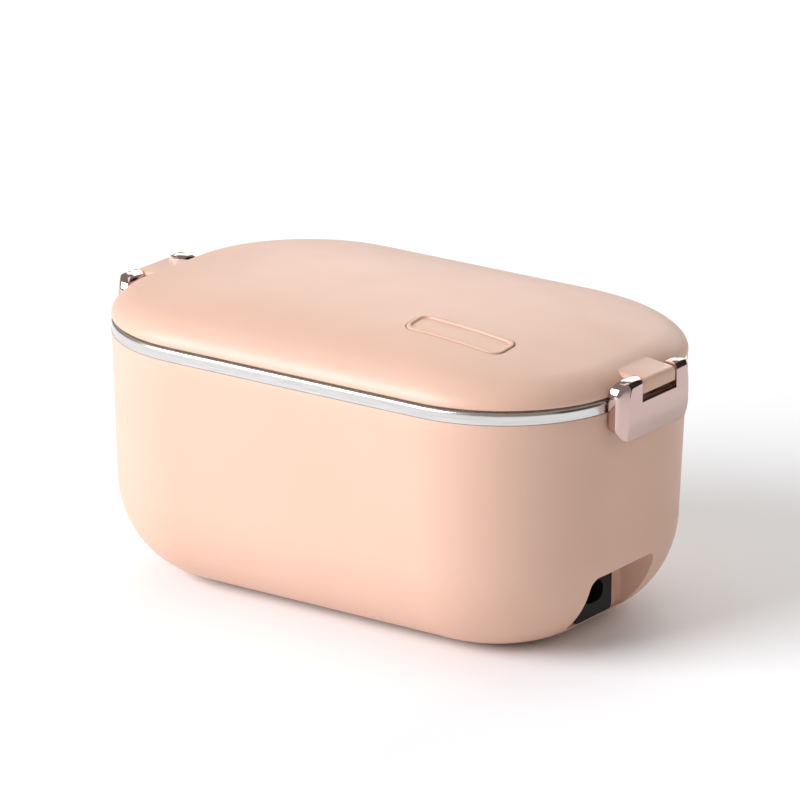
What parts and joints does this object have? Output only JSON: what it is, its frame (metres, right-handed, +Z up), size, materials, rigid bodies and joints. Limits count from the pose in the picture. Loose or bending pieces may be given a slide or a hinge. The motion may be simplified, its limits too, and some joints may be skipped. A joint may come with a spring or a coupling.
{
  "type": "electric lunch box",
  "caption": "Portable electric lunch box: heated steel tub in a rounded plastic body, domed lift-off lid held by a latch at each end, power inlet in one end.",
  "frame": {"origin": "middle of the surface the lunch box stands on, under the centre of its outline", "axes": "+X along the length, towards the end with the power inlet; +Y towards the back long side; +Z up"},
  "size_m": [0.252, 0.148, 0.1298],
  "materials": {
    "peach_plastic": "satin",
    "satin_steel": "satin",
    "rose_chrome": "polished",
    "white_silicone": "matte",
    "white_plastic": "satin",
    "cast_aluminium": "as cast",
    "element_sheath": "dull",
    "plated_steel": "satin",
    "contact_brass": "satin",
    "thermostat_body": "satin",
    "fuse_body": "satin",
    "black_plastic": "satin",
    "grey_rubber": "matte",
    "brown_insulation": "matte",
    "blue_insulation": "matte",
    "white_insulation": "matte"
  },
  "bodies": {
    "base": {"outer_body": "peach_plastic", "steel_tub": "satin_steel", "tub_gasket": "white_silicone", "heating_plate": "cast_aluminium", "heating_element": "element_sheath", "plate_nuts": "plated_steel", "thermostat": "thermostat_body", "thermostat_screws": "plated_steel", "thermal_fuse": "fuse_body", "fuse_clip": "plated_steel", "power_inlet": "black_plastic", "inlet_contacts": "contact_brass", "live_wire": "brown_insulation", "neutral_wire": "blue_insulation", "link_wires": "white_insulation", "base_cover": "peach_plastic", "base_screws": "plated_steel", "rubber_feet": "grey_rubber"},
    "lid": {"lid_shell": "peach_plastic", "name_plate": "peach_plastic", "lid_liner": "white_plastic", "lid_seal": "white_silicone", "left_hinge_pin": "plated_steel", "right_hinge_pin": "plated_steel"},
    "left_latch": {"left_latch": "rose_chrome"},
    "right_latch": {"right_latch": "rose_chrome"},
    "left_container": {"left_container": "satin_steel"},
    "right_container": {"right_container": "satin_steel"},
    "left_container_lid": {"left_container_lid": "white_plastic", "left_container_seal": "white_silicone"},
    "right_container_lid": {"right_container_lid": "white_plastic", "right_container_seal": "white_silicone"}
  },
  "joints": [
    {"name": "lid_lift", "type": "slide", "parent": "base", "child": "lid", "axis": [0, 0, 1], "range_m": [0, 0.16]},
    {"name": "left_latch_turn", "type": "hinge", "parent": "lid", "child": "left_latch", "pos_m": [-0.122, 0, 0.1122], "axis": [0, 1, 0], "range_deg": [0, 170]},
    {"name": "right_latch_turn", "type": "hinge", "parent": "lid", "child": "right_latch", "pos_m": [0.122, 0, 0.1122], "axis": [0, -1, 0], "range_deg": [0, 170]},
    {"name": "left_container_lift", "type": "slide", "parent": "base", "child": "left_container", "axis": [0, 0, 1], "range_m": [0, 0.096]},
    {"name": "right_container_lift", "type": "slide", "parent": "base", "child": "right_container", "axis": [0, 0, 1], "range_m": [0, 0.096]},
    {"name": "left_container_lid_lift", "type": "slide", "parent": "left_container", "child": "left_container_lid", "axis": [0, 0, 1], "range_m": [0, 0.032]},
    {"name": "right_container_lid_lift", "type": "slide", "parent": "right_container", "child": "right_container_lid", "axis": [0, 0, 1], "range_m": [0, 0.032]}
  ],
  "couplings": [
    {"joint": "left_container_lift", "follows": "lid_lift", "ratio": 0.6},
    {"joint": "right_container_lift", "follows": "lid_lift", "ratio": 0.6},
    {"joint": "left_container_lid_lift", "follows": "lid_lift", "ratio": 0.2},
    {"joint": "right_container_lid_lift", "follows": "lid_lift", "ratio": 0.2}
  ]
}
